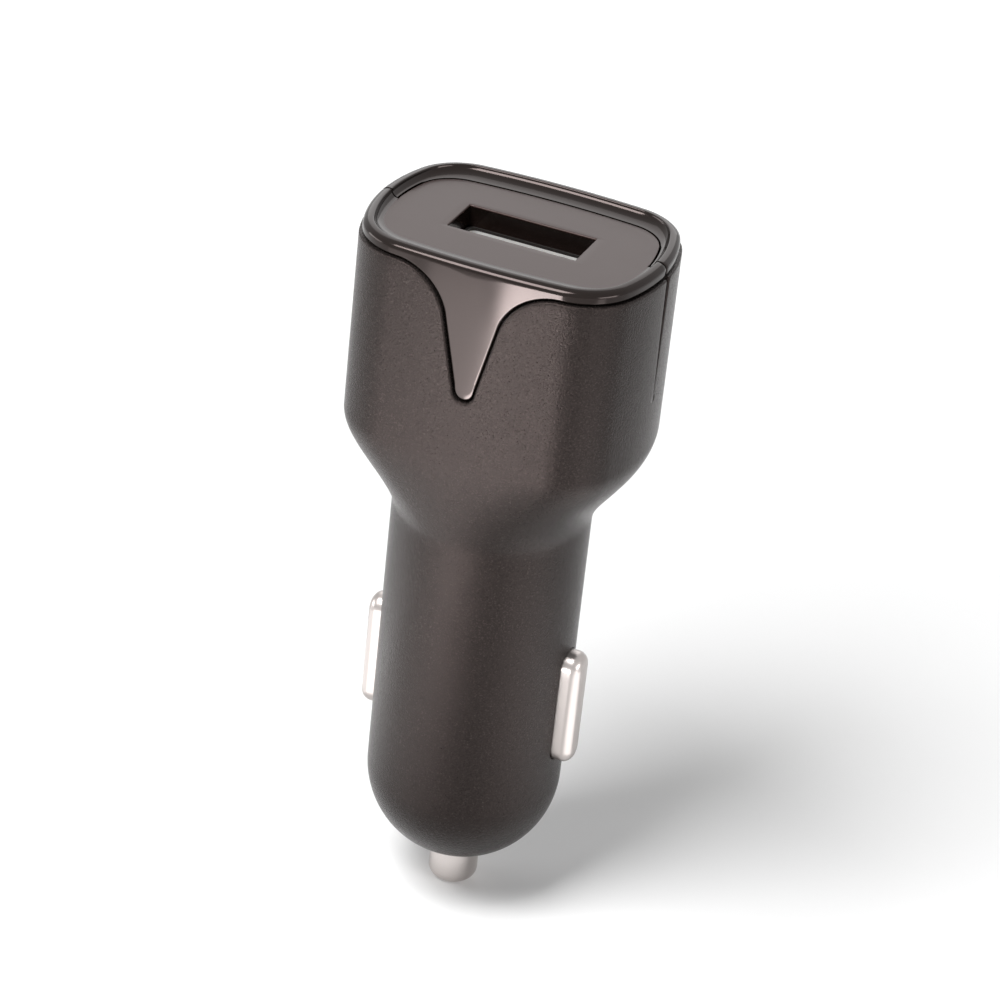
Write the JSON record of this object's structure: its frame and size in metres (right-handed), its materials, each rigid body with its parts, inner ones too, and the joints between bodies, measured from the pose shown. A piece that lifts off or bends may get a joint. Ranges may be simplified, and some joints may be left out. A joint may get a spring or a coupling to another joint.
{
  "type": "car usb charger plug",
  "caption": "Car charger plug with a rounded-rectangular head holding a USB socket, a gloss V-shaped inlay, a round barrel with sprung side contacts and a sprung tip.",
  "frame": {"origin": "lowest point of the centre contact, on the plug's axis", "axes": "+Z along the plug's axis towards the USB face, -Y towards the front inlay, +X towards the right side contact"},
  "size_m": [0.0306, 0.023, 0.0766],
  "materials": {
    "matte_shell": "finely textured warm dark grey moulded plastic",
    "gloss_trim": "polished warm dark grey moulded plastic",
    "nickel": "bright nickel plating",
    "spring_steel": "drawn spring wire",
    "brass_sheet": "stamped brass sheet",
    "socket_shell": "tin plated steel sheet",
    "black_plastic": "black insulator",
    "gold_strip": "gold plated contact strip",
    "board": "green solder mask",
    "ferrite": "sintered ferrite",
    "copper_wire": "enamelled copper wire, wound",
    "capacitor_can": "drawn aluminium can",
    "chip_body": "moulded chip"
  },
  "bodies": {
    "housing": {"front_shell": "matte_shell", "rear_shell": "matte_shell", "fascia": "gloss_trim", "rear_trim": "gloss_trim", "usb_shell": "socket_shell", "usb_insulator": "black_plastic", "usb_contact_1": "gold_strip", "usb_contact_2": "gold_strip", "usb_contact_3": "gold_strip", "usb_contact_4": "gold_strip", "circuit_board": "board", "inductor_core": "ferrite", "inductor_winding": "copper_wire", "input_capacitor": "capacitor_can", "output_capacitor": "capacitor_can", "converter_chip": "chip_body", "diode": "chip_body", "fuse": "chip_body", "sense_chip": "chip_body", "chip_capacitor_1": "chip_body", "chip_capacitor_2": "chip_body", "chip_resistor_1": "chip_body", "chip_resistor_2": "chip_body", "tip_spring": "spring_steel", "tip_terminal": "brass_sheet", "left_spring": "spring_steel", "right_spring": "spring_steel", "ground_bracket": "brass_sheet"},
    "tip": {"center_contact": "nickel"},
    "left": {"left_contact": "nickel"},
    "right": {"right_contact": "nickel"}
  },
  "joints": [
    {"name": "center_contact_slide", "type": "slide", "parent": "housing", "child": "tip", "axis": [0, 0, 1], "range_m": [0, 0.0025], "stiffness_N_per_m": 1500, "springref_m": -0.0015, "deforming": ["tip_spring"]},
    {"name": "left_contact_slide", "type": "slide", "parent": "housing", "child": "left", "axis": [1, 0, 0], "range_m": [0, 0.0021], "stiffness_N_per_m": 1500, "springref_m": -0.001, "deforming": ["left_spring"]},
    {"name": "right_contact_slide", "type": "slide", "parent": "housing", "child": "right", "axis": [-1, 0, 0], "range_m": [0, 0.0021], "stiffness_N_per_m": 1500, "springref_m": -0.001, "deforming": ["right_spring"]}
  ]
}
